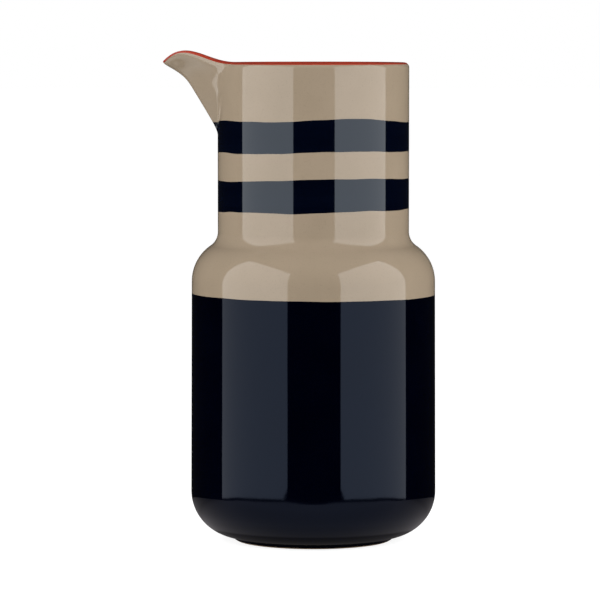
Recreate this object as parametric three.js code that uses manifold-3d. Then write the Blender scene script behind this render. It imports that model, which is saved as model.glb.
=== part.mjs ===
// A one-litre glazed stoneware carafe: a turned pot with a beak spout luted into a notch in its neck.
// Every colour of the fired glaze is a coat of its own on the clay.
// Millimetres, +Z up, spout towards -X, standing on Z = 0.
import * as THREE from "three";
import { mergeVertices } from "three/addons/utils/BufferGeometryUtils.js";
import Module from "manifold-3d";

const { degToRad, radToDeg, clamp, lerp, smoothstep } = THREE.MathUtils;

// Turned pot, measured on the glazed outside
const BELLY_RADIUS = 50;
const BELLY_HEIGHT = 106.8; // top of the straight wall, where the shoulder starts
const BELLY_SPREAD = 0.35; // the straight wall is this much wider at its bottom
const HEEL_RADIUS = 18.7; // curve from the straight wall to the underside
const SHOULDER_RADIUS = 17.7; // round curve off the belly
const THROAT_RADIUS = 7; // hollow curve up into the neck
const NECK_RADIUS = 39.25;
const NECK_LENGTH = 69.4; // from the end of the throat to the rim
const WALL = 4.4; // clay and both of its glazes

// Foot ring
const FOOT_RADIUS = 33;
const FOOT_HEIGHT = 1.7; // depth of the recess under the pot
const FOOT_WIDTH = 4.5;
const FOOT_TAPER = 0.5; // draw-in of the ring's outside towards the table
const FOOT_BARE = 0.5; // strip of clay wiped clean of glaze above the table

// Beak spout
const SPOUT_DROP = 30; // from the rim down to the spout's root
const SPOUT_RUN = 17.2; // reach of the straight keel beyond the neck
const SPOUT_FLARE = 6.5; // further reach of the lip where it opens outwards
const FLARE_START = 0.75; // share of the drop at which the lip begins to open
const FLARE_END = 1.01;
const FLARE_SPREAD = 26; // degrees either side of the keel
const FLARE_SHARPNESS = 1.2; // higher draws the flare in towards the keel
const ROOT_SOFTNESS = 0.1; // share of the drop taken by the hollow at the root
const CHEEK_ANGLE = 54; // degrees from the keel that each flat cheek faces
const CHEEK_EASE = 0.5; // share of the drop above which the cheeks grow steeper
const CHEEK_FILLET = 0.12; // hollow where a cheek meets the neck, as a share of the reach
const KEEL_ROUNDING = 0.36; // share of the reach
const SPOUT_ROOT_SPREAD = 12; // half of the spout's piece at its root, in degrees from the keel
const SPOUT_RIM_SPREAD = 30;
const LIP_LIFT = 10.8; // rise of the lip's edges above the rim, before the pouring dip
const LIFT_SPREAD = 48; // degrees either side of the keel
const LIFT_SHARPNESS = 6; // higher draws the rise in towards the keel
const DIP_DEPTH = 0.92; // share of that rise taken away at the tip
const DIP_WIDTH = 7.7; // degrees either side of the keel
const JOINT_GAP = 0.3; // slip joint between the spout and the notch in the neck

// Fired glaze
const GLAZE = 0.5; // thickness of every coat
const GLAZE_SEAT = 0.05; // hairline between a coat and the clay
const BASE_LINE_DROP = 5; // dipped base stops this far below the shoulder
const UPPER_BAND_DROP = 23.3; // from the rim to the upper band
const UPPER_BAND_WIDTH = 12.75;
const BAND_SPACING = 11.2;
const LOWER_BAND_WIDTH = 12.9;
const RIM_LINE_ANGLE = 42; // degrees up the rim's rounding at which the red line starts

// Hand-painted edges: each wave is a count per turn, a height and the azimuth of a crest in degrees
const BASE_LINE_WAVES = [[1, 0.35, 180]];
const LOWER_BAND_BOTTOM_WAVES = [[1, 0.6, -10], [5, 0.25, -135]];
const LOWER_BAND_TOP_WAVES = [[1, 0.3, 0], [2, 0.7, -75]];
const UPPER_BAND_BOTTOM_WAVES = [[1, 0.3, 0], [3, 0.45, -73]];
const UPPER_BAND_TOP_WAVES = [[2, 0.3, -75], [3, 0.4, -78], [4, 0.4, -60]];
const KEEL_DIP = 0.9; // further fall of the upper band's edges where they cross the keel
const KEEL_DIP_SPREAD = 26; // degrees either side of the keel
const EDGE_ROOM = 2; // plain rings nearer than this to a painted edge give way to it

// Colours and finishes
const CLAY = 0xb59a7c;
const SAND = 0xa8977f;
const NAVY = 0x0b1124;
const RED = 0xa5402c;
const CLAY_ROUGHNESS = 0.85;
const SATIN = 0.25;
const GLOSS = 0.12;

// Facets
const SPOUT_STEPS = 8; // columns on each side of the keel
const SPOUT_STEP_EASE = 1.3; // higher crowds the columns towards the keel
const ROUND_STEPS = 20; // columns round the rest of the pot
const HEEL_STEPS = 5;
const SHOULDER_STEPS = 4;
const THROAT_STEPS = 3;
const CREST_STEPS = 4; // over the red line
const SPOUT_RINGS = [0, 0.12, 0.26, 0.42, 0.58, 0.72, 0.83]; // shares of the drop
const LEVEL = 0.01; // rings nearer in height than this are level

// Centres of the turned profile's curves, as radius and height
const HEEL_CENTRE = new THREE.Vector2(BELLY_RADIUS + BELLY_SPREAD - HEEL_RADIUS, FOOT_HEIGHT + HEEL_RADIUS);
const SHOULDER_CENTRE = new THREE.Vector2(BELLY_RADIUS - SHOULDER_RADIUS, BELLY_HEIGHT);
const SHOULDER_OVERHANG = NECK_RADIUS + THROAT_RADIUS - SHOULDER_CENTRE.x;
const SHOULDER_RISE = Math.sqrt((SHOULDER_RADIUS + THROAT_RADIUS) ** 2 - SHOULDER_OVERHANG ** 2);
const SHOULDER_SWEEP = Math.atan2(SHOULDER_RISE, SHOULDER_OVERHANG);
const THROAT_CENTRE = new THREE.Vector2(NECK_RADIUS + THROAT_RADIUS, BELLY_HEIGHT + SHOULDER_RISE);
const SHOULDER_END = BELLY_HEIGHT + SHOULDER_RADIUS * Math.sin(SHOULDER_SWEEP);
const RIM_HEIGHT = THROAT_CENTRE.y + NECK_LENGTH;
const RIM_CENTRE = new THREE.Vector2(NECK_RADIUS - WALL / 2, RIM_HEIGHT - WALL / 2);
const SPOUT_ROOT = RIM_HEIGHT - SPOUT_DROP;
const CLAY_DEPTH = GLAZE + GLAZE_SEAT;

// Columns of the pot's rings, as swings from the keel in radians, crowded where the beak is sharp
function columnSwings() {
  const beak = Array.from({ length: SPOUT_STEPS }, (_, step) =>
    degToRad(SPOUT_RIM_SPREAD) * ((step + 1) / SPOUT_STEPS) ** SPOUT_STEP_EASE);
  const roundStart = beak.at(-1);
  const roundSweep = 2 * (Math.PI - roundStart);
  const round = Array.from({ length: ROUND_STEPS - 1 }, (_, step) =>
    roundStart + (roundSweep * (step + 1)) / ROUND_STEPS);
  const otherSide = beak.map((swing) => 2 * Math.PI - swing).reverse();
  return [0, ...beak, ...round, ...otherSide];
}
const SWINGS = columnSwings();

// 1 at the keel, falling softly to 0 at a spread in degrees either side of it
function bell(swing, spread) {
  const share = Math.min(swing, 2 * Math.PI - swing) / degToRad(spread);
  return share < 1 ? (1 + Math.cos(Math.PI * share)) / 2 : 0;
}

// Reach of the straight keel beyond the neck at a share of the spout's height
function straightReach(climb) {
  const hollow = (share) => Math.hypot(share, ROOT_SOFTNESS) - ROOT_SOFTNESS;
  return (SPOUT_RUN * hollow(climb)) / hollow(1);
}

// Reach of the two flat cheeks, joined by a rounded keel and running into the neck by a fillet
function cheekReach(swing, reach) {
  if (reach === 0) return 0;
  const facing = degToRad(CHEEK_ANGLE);
  const turn = Math.min(swing, 2 * Math.PI - swing, facing);
  const ahead = Math.cos(turn) * Math.cos(facing);
  const aside = Math.sin(turn) * Math.sin(facing);
  const rounding = KEEL_ROUNDING * reach * Math.sin(facing);
  const plane = (NECK_RADIUS + reach) * Math.cos(facing) + rounding;
  const inner = plane ** 2 - rounding ** 2;
  const sharpness = Math.hypot(ahead * rounding, aside * Math.sqrt(inner));
  const stand = inner / (plane * ahead + sharpness) - NECK_RADIUS;
  const fillet = CHEEK_FILLET * reach;
  const blend = clamp(1 - Math.abs(stand) / fillet, 0, 1);
  return Math.max(stand, 0) + (blend ** 2 * fillet) / 4;
}

// Reach of the whole beak: cheeks that grow steeper towards the rim, and the keel and flare beyond them
function beakReach(climb, swing) {
  const late = Math.max(climb - CHEEK_EASE, 0);
  const cheeks = straightReach(climb - late ** 2 / (2 - 2 * CHEEK_EASE));
  const keel = straightReach(climb) + SPOUT_FLARE * smoothstep(climb, FLARE_START, FLARE_END);
  return cheekReach(swing, cheeks) + (keel - cheeks) * bell(swing, FLARE_SPREAD) ** FLARE_SHARPNESS;
}

// Rise of the lip above the rim, with the pouring dip at its tip
function lipRise(swing) {
  const aside = radToDeg(Math.min(swing, 2 * Math.PI - swing));
  const dip = 1 - DIP_DEPTH * Math.exp(-((aside / DIP_WIDTH) ** 2));
  return LIP_LIFT * bell(swing, LIFT_SPREAD) ** LIFT_SHARPNESS * dip;
}

// Places a point of the turned profile at a column, drawn out where the column is in the beak
function place(point, swing) {
  const climb = clamp((point.y - SPOUT_ROOT) / SPOUT_DROP, 0, 1);
  const radius = point.x + beakReach(climb, swing);
  const height = point.y + lipRise(swing) * climb ** 2;
  return new THREE.Vector3(-radius * Math.cos(swing), -radius * Math.sin(swing), height);
}

// A station is a place up the wall; at(depth) is its point that far below the glazed outside
function onCurve(centre, radius, angle) {
  const direction = new THREE.Vector2(Math.cos(angle), Math.sin(angle));
  return {
    height: centre.y + radius * direction.y,
    at: (depth) => direction.clone().multiplyScalar(radius - depth).add(centre),
  };
}
const onHeel = (angle) => onCurve(HEEL_CENTRE, HEEL_RADIUS, -angle);
const onShoulder = (angle) => onCurve(SHOULDER_CENTRE, SHOULDER_RADIUS, angle);
const onThroat = (angle) => onCurve(THROAT_CENTRE, -THROAT_RADIUS, angle);
const onRim = (degrees) => onCurve(RIM_CENTRE, WALL / 2, degToRad(degrees));
const onNeck = (height) => ({ height, at: (depth) => new THREE.Vector2(NECK_RADIUS - depth, height) });

function onBelly(height) {
  const rise = (height - HEEL_CENTRE.y) / (BELLY_HEIGHT - HEEL_CENTRE.y);
  const radius = BELLY_RADIUS + BELLY_SPREAD * (1 - rise);
  return { height, at: (depth) => new THREE.Vector2(radius - depth, height) };
}

// The station at any height of the outside wall
function onWall(height) {
  if (height > THROAT_CENTRE.y) return onNeck(height);
  if (height > SHOULDER_END) return onThroat(Math.asin((THROAT_CENTRE.y - height) / THROAT_RADIUS));
  if (height > BELLY_HEIGHT) return onShoulder(Math.asin((height - BELLY_HEIGHT) / SHOULDER_RADIUS));
  if (height > HEEL_CENTRE.y) return onBelly(height);
  return onHeel(Math.asin((HEEL_CENTRE.y - height) / HEEL_RADIUS));
}

// A hand-painted edge rises and falls as it goes round the pot
function paintedEdge(height, waves, keelDip = 0) {
  const sway = (swing) => {
    const azimuth = radToDeg(swing) + 180;
    return waves.reduce((sum, [count, rise, crest]) =>
      sum + rise * Math.cos(count * degToRad(azimuth - crest)), -keelDip * bell(swing, KEEL_DIP_SPREAD));
  };
  return { height, at: (depth, swing) => onWall(height + sway(swing)).at(depth) };
}

// Rings and lofts
const ring = (station, depth) => SWINGS.map((swing) => place(station.at(depth, swing), swing));
const plainRing = (radius, height) => ring({ at: () => new THREE.Vector2(radius, height) });
const pole = (height) => [new THREE.Vector3(0, 0, height)];

// True where the second ring is the higher of the two or, level with the first, the wider
function climbs(first, second) {
  const rise = second[0].z - first[0].z;
  return Math.abs(rise) > LEVEL ? rise > 0 : second[0].length() > first[0].length();
}

// Triangles between two neighbouring rings, split alike on every skin so that coats lie parallel
function stitch(first, second, firstIndex, secondIndex) {
  const columns = Math.max(first.length, second.length);
  const corner = (points, start, column) => start + (points.length === 1 ? 0 : column % columns);
  const triangles = [];
  for (let column = 0; column < columns; column += 1) {
    const a = corner(first, firstIndex, column);
    const b = corner(first, firstIndex, column + 1);
    const c = corner(second, secondIndex, column + 1);
    const d = corner(second, secondIndex, column);
    const leansAhead = climbs(first, second) === column < columns / 2;
    const split = leansAhead ? [[a, b, c], [a, c, d]] : [[a, b, d], [b, c, d]];
    triangles.push(...split.filter(([p, q, r]) => p !== q && q !== r && r !== p));
  }
  return triangles;
}

// A closed skin through rings in turn; a run that doesn't end on the axis closes on itself
function loft(rings) {
  const starts = [];
  rings.reduce((count, points) => {
    starts.push(count);
    return count + points.length;
  }, 0);
  const triangles = rings.slice(1).flatMap((points, index) =>
    stitch(rings[index], points, starts[index], starts[index + 1]));
  if (rings[0].length > 1) {
    triangles.push(...stitch(rings.at(-1), rings[0], starts.at(-1), starts[0]));
  }
  const geometry = new THREE.BufferGeometry().setFromPoints(rings.flat());
  geometry.setIndex(triangles.flat());
  return facingOut(geometry);
}

function facingOut(geometry) {
  const points = geometry.getAttribute("position");
  const index = geometry.getIndex();
  const corner = (entry) => new THREE.Vector3().fromBufferAttribute(points, index.getX(entry));
  let volume = 0;
  for (let entry = 0; entry < index.count; entry += 3) {
    volume += corner(entry).dot(corner(entry + 1).cross(corner(entry + 2)));
  }
  if (volume < 0) geometry.setIndex(Array.from(index.array).reverse());
  geometry.computeVertexNormals();
  return geometry;
}

// Booleans
const wasm = await Module();
wasm.setup();

function asSolid(geometry) {
  const bare = geometry.clone();
  bare.deleteAttribute("normal");
  bare.deleteAttribute("uv");
  const merged = mergeVertices(bare);
  return new wasm.Manifold(new wasm.Mesh({
    numProp: 3,
    vertProperties: merged.getAttribute("position").array,
    triVerts: new Uint32Array(merged.getIndex().array),
  }));
}

function asGeometry(solid) {
  const mesh = solid.getMesh();
  const geometry = new THREE.BufferGeometry();
  geometry.setAttribute("position", new THREE.BufferAttribute(mesh.vertProperties, mesh.numProp));
  geometry.setIndex(Array.from(mesh.triVerts));
  geometry.computeVertexNormals();
  return geometry;
}

// Stations of the wall from the foot to the rim's rounding
const footLine = { at: (depth) => new THREE.Vector2(FOOT_RADIUS - FOOT_TAPER - depth, FOOT_BARE) };
const footCorner = {
  at: (depth) => {
    const radius = FOOT_RADIUS - depth;
    const overhang = Math.max(radius - HEEL_CENTRE.x, 0);
    return new THREE.Vector2(radius, HEEL_CENTRE.y - Math.sqrt((HEEL_RADIUS - depth) ** 2 - overhang ** 2));
  },
};
const heelStart = Math.acos(clamp((FOOT_RADIUS - HEEL_CENTRE.x) / HEEL_RADIUS, 0, 1));
const shares = (steps) => Array.from({ length: steps + 1 }, (_, step) => step / steps);
const heelStations = shares(HEEL_STEPS).slice(1).map((share) => onHeel(heelStart * (1 - share)));
const shoulderStations = shares(SHOULDER_STEPS).map((share) => onShoulder(SHOULDER_SWEEP * share));
const throatStations = shares(THROAT_STEPS).slice(1)
  .map((share) => onThroat(SHOULDER_SWEEP * (1 - share)));
const spoutStations = SPOUT_RINGS.map((share) => onNeck(SPOUT_ROOT + share * SPOUT_DROP));
const turnedStations = [...heelStations, ...shoulderStations, ...throatStations, ...spoutStations];

const upperTop = RIM_HEIGHT - UPPER_BAND_DROP;
const upperBottom = upperTop - UPPER_BAND_WIDTH;
const lowerTop = upperBottom - BAND_SPACING;
const lowerBottom = lowerTop - LOWER_BAND_WIDTH;
const baseLine = paintedEdge(BELLY_HEIGHT - BASE_LINE_DROP, BASE_LINE_WAVES);
const lowerBandBottom = paintedEdge(lowerBottom, LOWER_BAND_BOTTOM_WAVES);
const lowerBandTop = paintedEdge(lowerTop, LOWER_BAND_TOP_WAVES);
const upperBandBottom = paintedEdge(upperBottom, UPPER_BAND_BOTTOM_WAVES, KEEL_DIP);
const upperBandTop = paintedEdge(upperTop, UPPER_BAND_TOP_WAVES, KEEL_DIP);
const paintedEdges = [baseLine, lowerBandBottom, lowerBandTop, upperBandBottom, upperBandTop];

const clearOfEdges = ({ height }) =>
  paintedEdges.every((edge) => Math.abs(edge.height - height) > EDGE_ROOM);
const wallStations = [...turnedStations.filter(clearOfEdges), ...paintedEdges]
  .sort((lower, upper) => lower.height - upper.height);

// Stations over the rim and down the inside
const rimStart = onRim(0);
const rimLineOutside = onRim(RIM_LINE_ANGLE);
const rimLineInside = onRim(180 - RIM_LINE_ANGLE);
const crestStations = shares(CREST_STEPS).slice(1, -1)
  .map((share) => onRim(lerp(RIM_LINE_ANGLE, 180 - RIM_LINE_ANGLE, share)));
const rimEnd = onRim(180);
const outsideRun = [footLine, footCorner, ...wallStations, rimStart, rimLineOutside];
const crestRun = [rimLineOutside, ...crestStations, rimLineInside];
const fromInside = (station) => ({ at: (depth, swing) => station.at(WALL - depth, swing) });
const floorEdge = onHeel(Math.PI / 2);
const insideHeel = shares(HEEL_STEPS).slice(1).map((share) => onHeel((Math.PI / 2) * (1 - share)));
const insideWall = [floorEdge, ...insideHeel, ...shoulderStations, ...throatStations, ...spoutStations];
const insideRun = [rimLineInside, rimEnd, ...insideWall.toReversed().map(fromInside)];

// A coat between two stations of a run
function coat(run, from, to) {
  const stations = run.slice(run.indexOf(from), run.indexOf(to) + 1);
  const outside = stations.map((station) => ring(station, 0));
  const underside = stations.map((station) => ring(station, GLAZE)).reverse();
  return loft([...outside, ...underside]);
}

function insideCoat() {
  const floor = (depth) => pole(floorEdge.at(WALL - depth).y);
  const outside = insideRun.map((station) => ring(station, 0)).reverse();
  const underside = insideRun.map((station) => ring(station, GLAZE));
  return loft([floor(0), ...outside, ...underside, floor(GLAZE)]);
}

function undersideCoat() {
  const radius = FOOT_RADIUS - FOOT_WIDTH - GLAZE_SEAT;
  const top = FOOT_HEIGHT + GLAZE;
  return loft([pole(FOOT_HEIGHT), plainRing(radius, FOOT_HEIGHT), plainRing(radius, top), pole(top)]);
}

// The whole clay form under the glaze, before the spout is parted from the pot
function clayForm() {
  const recess = FOOT_HEIGHT + CLAY_DEPTH;
  const footInside = FOOT_RADIUS - FOOT_WIDTH;
  const footOutside = FOOT_RADIUS - FOOT_TAPER - CLAY_DEPTH - FOOT_BARE;
  return loft([
    pole(recess),
    plainRing(footInside, recess),
    plainRing(footInside, FOOT_BARE),
    plainRing(footInside + FOOT_BARE, 0),
    plainRing(footOutside, 0),
    ...outsideRun.map((station) => ring(station, CLAY_DEPTH)),
    ...crestStations.map((station) => ring(station, CLAY_DEPTH)),
    ...insideRun.map((station) => ring(station, CLAY_DEPTH)),
    pole(floorEdge.at(WALL - CLAY_DEPTH).y),
  ]);
}

// Prism through the neck that the spout fills, smaller by a gap on its sides and bottom
function spoutNotch(gap) {
  const rootHalf = NECK_RADIUS * Math.sin(degToRad(SPOUT_ROOT_SPREAD));
  const rimHalf = NECK_RADIUS * Math.sin(degToRad(SPOUT_RIM_SPREAD));
  const top = SPOUT_DROP + 2 * LIP_LIFT;
  const topHalf = lerp(rootHalf, rimHalf, top / SPOUT_DROP);
  const outline = new THREE.Shape([
    new THREE.Vector2(-rootHalf + gap, gap),
    new THREE.Vector2(rootHalf - gap, gap),
    new THREE.Vector2(topHalf - gap, top),
    new THREE.Vector2(-topHalf + gap, top),
  ]);
  const depth = NECK_RADIUS + SPOUT_RUN + SPOUT_FLARE + WALL;
  const prism = new THREE.ExtrudeGeometry(outline, { depth, bevelEnabled: false });
  const along = new THREE.Vector3(1, 0, 0);
  const across = new THREE.Vector3(0, 1, 0);
  const up = new THREE.Vector3(0, 0, 1);
  prism.applyMatrix4(new THREE.Matrix4().makeBasis(across, up, along));
  return prism.translate(-depth, 0, SPOUT_ROOT);
}

// Assembly
const carafe = new THREE.Group();

function add(name, geometry, color, roughness) {
  const material = new THREE.MeshStandardMaterial({ color, roughness, metalness: 0 });
  const mesh = new THREE.Mesh(geometry, material);
  mesh.name = name;
  carafe.add(mesh);
}

const clay = asSolid(clayForm());
add("clay_body", asGeometry(clay.subtract(asSolid(spoutNotch(0)))), CLAY, CLAY_ROUGHNESS);
add("clay_spout", asGeometry(clay.intersect(asSolid(spoutNotch(JOINT_GAP)))), CLAY, CLAY_ROUGHNESS);
add("underside_glaze", undersideCoat(), NAVY, GLOSS);
add("navy_base_glaze", coat(outsideRun, footLine, baseLine), NAVY, GLOSS);
add("sand_shoulder_glaze", coat(outsideRun, baseLine, lowerBandBottom), SAND, SATIN);
add("lower_navy_band", coat(outsideRun, lowerBandBottom, lowerBandTop), NAVY, GLOSS);
add("sand_middle_glaze", coat(outsideRun, lowerBandTop, upperBandBottom), SAND, SATIN);
add("upper_navy_band", coat(outsideRun, upperBandBottom, upperBandTop), NAVY, GLOSS);
add("sand_neck_glaze", coat(outsideRun, upperBandTop, rimLineOutside), SAND, SATIN);
add("red_rim_line", coat(crestRun, rimLineOutside, rimLineInside), RED, SATIN);
add("inside_glaze", insideCoat(), SAND, SATIN);

// The origin is on the table under the middle of the carafe's footprint, spout included
const footprint = new THREE.Box3().setFromObject(carafe);
carafe.position.x = -(footprint.min.x + footprint.max.x) / 2;

export default carafe;
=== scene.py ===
"""Looks of a glazed stoneware carafe with a beak spout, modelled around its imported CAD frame."""
import math

import bpy
import numpy as np
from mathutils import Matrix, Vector


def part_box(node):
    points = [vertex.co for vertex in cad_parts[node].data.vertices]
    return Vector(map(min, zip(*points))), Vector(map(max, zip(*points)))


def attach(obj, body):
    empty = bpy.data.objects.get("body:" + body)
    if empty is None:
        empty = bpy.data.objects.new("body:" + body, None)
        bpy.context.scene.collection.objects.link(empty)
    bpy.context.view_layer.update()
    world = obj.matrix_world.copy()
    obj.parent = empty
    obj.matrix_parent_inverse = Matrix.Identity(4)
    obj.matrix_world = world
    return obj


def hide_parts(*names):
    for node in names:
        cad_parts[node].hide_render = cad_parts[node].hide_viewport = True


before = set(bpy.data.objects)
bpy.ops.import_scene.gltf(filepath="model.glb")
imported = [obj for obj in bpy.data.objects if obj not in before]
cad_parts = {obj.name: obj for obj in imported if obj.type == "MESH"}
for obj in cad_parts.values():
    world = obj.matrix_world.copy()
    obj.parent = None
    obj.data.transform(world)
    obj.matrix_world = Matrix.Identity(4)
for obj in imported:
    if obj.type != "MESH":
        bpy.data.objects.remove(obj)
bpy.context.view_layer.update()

MM = 0.001
base_low, base_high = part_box("navy_base_glaze")
AXIS_X = (base_low.x + base_high.x) / 2

# Turned pot in millimetres, measured on the glazed outside
BELLY_RADIUS = 50.0
BELLY_HEIGHT = 106.8
BELLY_SPREAD = 0.35
HEEL_RADIUS = 18.7
SHOULDER_RADIUS = 17.7
THROAT_RADIUS = 7.0
NECK_RADIUS = 39.25
NECK_LENGTH = 69.4
WALL = 4.4
GLAZE = 0.5
GLAZE_SEAT = 0.05
CLAY_DEPTH = GLAZE + GLAZE_SEAT

# Foot ring
FOOT_RADIUS = 33.0
FOOT_HEIGHT = 1.7
FOOT_WIDTH = 4.5
FOOT_TAPER = 0.5
FOOT_BARE = 0.5
FOOT_FILLET = 0.55
FOOT_ROUNDING = 0.5
FOOT_LEAN = 0.1

# Beak spout; starts, ends and softness are shares of its drop, rounding and fillet of its reach
SPOUT_DROP = 30.0
SPOUT_RUN = 17.2
SPOUT_FLARE = 6.4
FLARE_START = 0.6
FLARE_END = 1.0
FLARE_DELAY = 2.0
FLARE_SPREAD = math.radians(34)
FLARE_SHARPNESS = 1.8
ROOT_SOFTNESS = 0.1
CHEEK_ANGLE = math.radians(54)
KEEL_ROUNDING = 0.42
CHEEK_FILLET = 0.62
CHEEK_EASE = 0.33
LIP_LIFT = 10.6
LIFT_SPREAD = math.radians(48)
LIFT_SHARPNESS = 6.0
DIP_DEPTH = 0.92
DIP_WIDTH = math.radians(7.7)
NOTCH_ROOT_SPREAD = math.radians(12)
NOTCH_RIM_SPREAD = math.radians(30)
JOINT_GAP = 0.3

# Glaze lines
BASE_LINE_DROP = 5.0
UPPER_BAND_DROP = 23.3
UPPER_BAND_WIDTH = 12.75
BAND_SPACING = 11.2
LOWER_BAND_WIDTH = 12.9
RIM_LINE_ANGLE = math.radians(42)
LIP_LINE_ANGLE = math.radians(58)
LIP_LINE_SPREAD = math.radians(40)
TIP_LINE_DROP = math.radians(30)
TIP_LINE_SPREAD = math.radians(15)
EDGE_ROOM = 4.0

# Centres and heights that follow from these
HEEL_CENTRE = (BELLY_RADIUS + BELLY_SPREAD - HEEL_RADIUS, FOOT_HEIGHT + HEEL_RADIUS)
SHOULDER_CENTRE = (BELLY_RADIUS - SHOULDER_RADIUS, BELLY_HEIGHT)
OVERHANG = NECK_RADIUS + THROAT_RADIUS - SHOULDER_CENTRE[0]
RISE = math.sqrt((SHOULDER_RADIUS + THROAT_RADIUS) ** 2 - OVERHANG**2)
SHOULDER_SWEEP = math.atan2(RISE, OVERHANG)
THROAT_CENTRE = (NECK_RADIUS + THROAT_RADIUS, BELLY_HEIGHT + RISE)
RIM_HEIGHT = THROAT_CENTRE[1] + NECK_LENGTH
RIM_CENTRE = (NECK_RADIUS - WALL / 2, RIM_HEIGHT - WALL / 2)
SPOUT_ROOT = RIM_HEIGHT - SPOUT_DROP
BASE_LINE = BELLY_HEIGHT - BASE_LINE_DROP
UPPER_TOP = RIM_HEIGHT - UPPER_BAND_DROP
UPPER_BOTTOM = UPPER_TOP - UPPER_BAND_WIDTH
LOWER_TOP = UPPER_BOTTOM - BAND_SPACING
LOWER_BOTTOM = LOWER_TOP - LOWER_BAND_WIDTH

# Hand-painted edges: each wave is a count per turn, a height and the azimuth of a crest in degrees
PAINTED_WAVES = {
    BASE_LINE: [(1, 0.35, 180), (9, 0.05, 20), (17, 0.03, 75)],
    LOWER_BOTTOM: [(1, 0.6, -10), (5, 0.25, -135), (11, 0.07, 12), (19, 0.04, 40)],
    LOWER_TOP: [(1, 0.3, 0), (2, 0.7, -75), (9, 0.07, 31), (17, 0.04, 8)],
    UPPER_BOTTOM: [(1, 0.3, 0), (3, 0.45, -73), (10, 0.07, 55), (21, 0.04, 20)],
    UPPER_TOP: [(2, 0.3, -75), (3, 0.4, -78), (4, 0.4, -60), (11, 0.06, 5), (19, 0.04, 60)],
}
KEEL_DIP = {UPPER_BOTTOM: 0.8, UPPER_TOP: 0.95}
KEEL_DIP_SPREAD = math.radians(26)

# Fineness of the meshes: columns round the pot and steps along each stretch of a section
COLUMNS = 360
BEAK_COLUMNS = 720
CLAY_COLUMNS = 180
CLAY_STEPS = {
    "floor": 4, "foot": 5, "heel": 24, "belly": 3, "shoulder": 16, "throat": 10,
    "neck": 2, "beak": 40, "rim": 24,
}
INSIDE_STEPS = {
    "floor": 4, "heel": 18, "belly": 2, "shoulder": 16, "throat": 10, "neck": 2, "beak": 36, "rim": 6,
}
UNDERSIDE_STEPS = {"floor": 6, "edge": 4}
BASE_STEPS = {"foot": 2, "fillet": 6, "heel": 40, "belly": 6}
SHOULDER_STEPS = {"belly": 2, "shoulder": 28, "throat": 20, "neck": 4}
UPPER_NECK_STEPS = {"beak": 40, "rim": 8}
STRIPE_STEPS = 6
BEAK_STRIPE_STEPS = 24
RIM_STROKE_STEPS = 20
PENCIL_POINT = 0.01
SEAM = 1e-6
SMOOTH_ANGLE = math.radians(35)

# Glaze finishes: a dark and a light tone, an index of refraction and the tint of the shine
WHITE = (1, 1, 1)
BLACK = (0, 0, 0)
SAND_TONES = ((0.322, 0.255, 0.181), (0.351, 0.278, 0.201))
SAND_INDEX = 1.5
BAND_TONES = ((0.0002, 0.0009, 0.0048), (0.0005, 0.0015, 0.0064))
BAND_INDEX = 1.51
BAND_TINT = (0.76, 0.87, 1.0)
BASE_TONES = ((0.00005, 0.0002, 0.0021), (0.0001, 0.0004, 0.003))
BASE_INDEX = 1.28
BASE_TINT = (0.54, 0.685, 1.0)
RED_TONES = ((0.3, 0.029, 0.0145), (0.4, 0.045, 0.022))
RED_INDEX = 1.33
RED_STREAK_SCALE = 160
RED_ROUGHNESS = (0.25, 0.35)

# Glaze texture: noise scales per metre, places on a noise where tones start and end, depths in metres
EVEN = (1, 1, 1)
BRUSHED = (0.25, 0.25, 5)
FIRED_ROUGHNESS = (0.03, 0.06)
ROUGHNESS_SCALE = 70
CLOUD_SCALE = 45
CLOUD_RANGE = (0.3, 0.7)
FLECK_SCALE = 1600
FLECK_RANGE = (0.3, 0.42)
FLECK_TONE = (0.93, 0.93, 0.93)
WAVER_SCALE = 26
WAVER_DEPTH = 6e-5
PIT_SCALE = 420
PIT_DEPTH = 1.5e-6
ROUGH_DETAIL = 4
CLOUD_DETAIL = 3
FINE_DETAIL = 2
SMOOTH_DETAIL = 1

# Bare clay
CLAY_TONES = ((0.36, 0.25, 0.15), (0.47, 0.34, 0.22))
CLAY_SCALE = 120
CLAY_RANGE = (0.35, 0.65)
SPECK_TONE = (0.35, 0.28, 0.22)
SPECK_SCALE = 2200
SPECK_RANGE = (0.32, 0.4)
GRIT_SCALE = 1500
GRIT_DEPTH = 3e-5
CLAY_ROUGHNESS = 0.85

# Camera
CAMERA_ASIDE = -0.0055
CAMERA_DISTANCE = 1.5642
CAMERA_HEIGHT = 0.2099
CAMERA_LENS = 228.7
CAMERA_SENSOR = 36
CAMERA_PITCH = 0.0708

# Studio light and floor
AMBIENT = 0.33
FLOOR_GLOW = 0.86
FLOOR_TONE = 0.5
FLOOR_RADIUS = 12.0
FLOOR_SIDES = 96

# Table top that reflections show, glowing with painted light: its outline, then runs of painted light and
# painted shadow over distances in metres
TABLE_WIDTH = 0.392
TABLE_FRONT = -0.208
TABLE_BACK = 0.125
TABLE_CORNER = 0.145
TABLE_CORNER_PROFILE = 0.42
TABLE_CORNER_STEPS = 12
TABLE_BORDER = 0.012
TABLE_GLOW = 0.95
TABLE_TINT = (1.0, 0.94, 0.97)
# Painted shadow round the foot, lightened to the sides, and painted light fading towards the back
SHADE_REACH = (0.03, 0.055)
SHADE_RUN = [(0.0, 0.07), (0.3, 0.14), (0.46, 0.19), (0.53, 0.55), (0.66, 0.72), (0.95, 0.95)]
SIDES_REACH = (0.018, 0.04)
SIDES_RUN = [(0.0, 0.0), (1.0, 0.24)]
FADE_REACH = (-0.1, 0.1)
FADE_RUN = [(0.0, 1.0), (0.3, 0.8), (0.6, 0.24), (1.0, 0.1)]

# Dark flags all round, which only reflections see, painting dark reflections, with a faint painted glow
FLAG_RADIUS = 5.0
FLAG_SEGMENTS = 48
FLAG_RINGS = 24
FLAG_GLOW = 0.008

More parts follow.
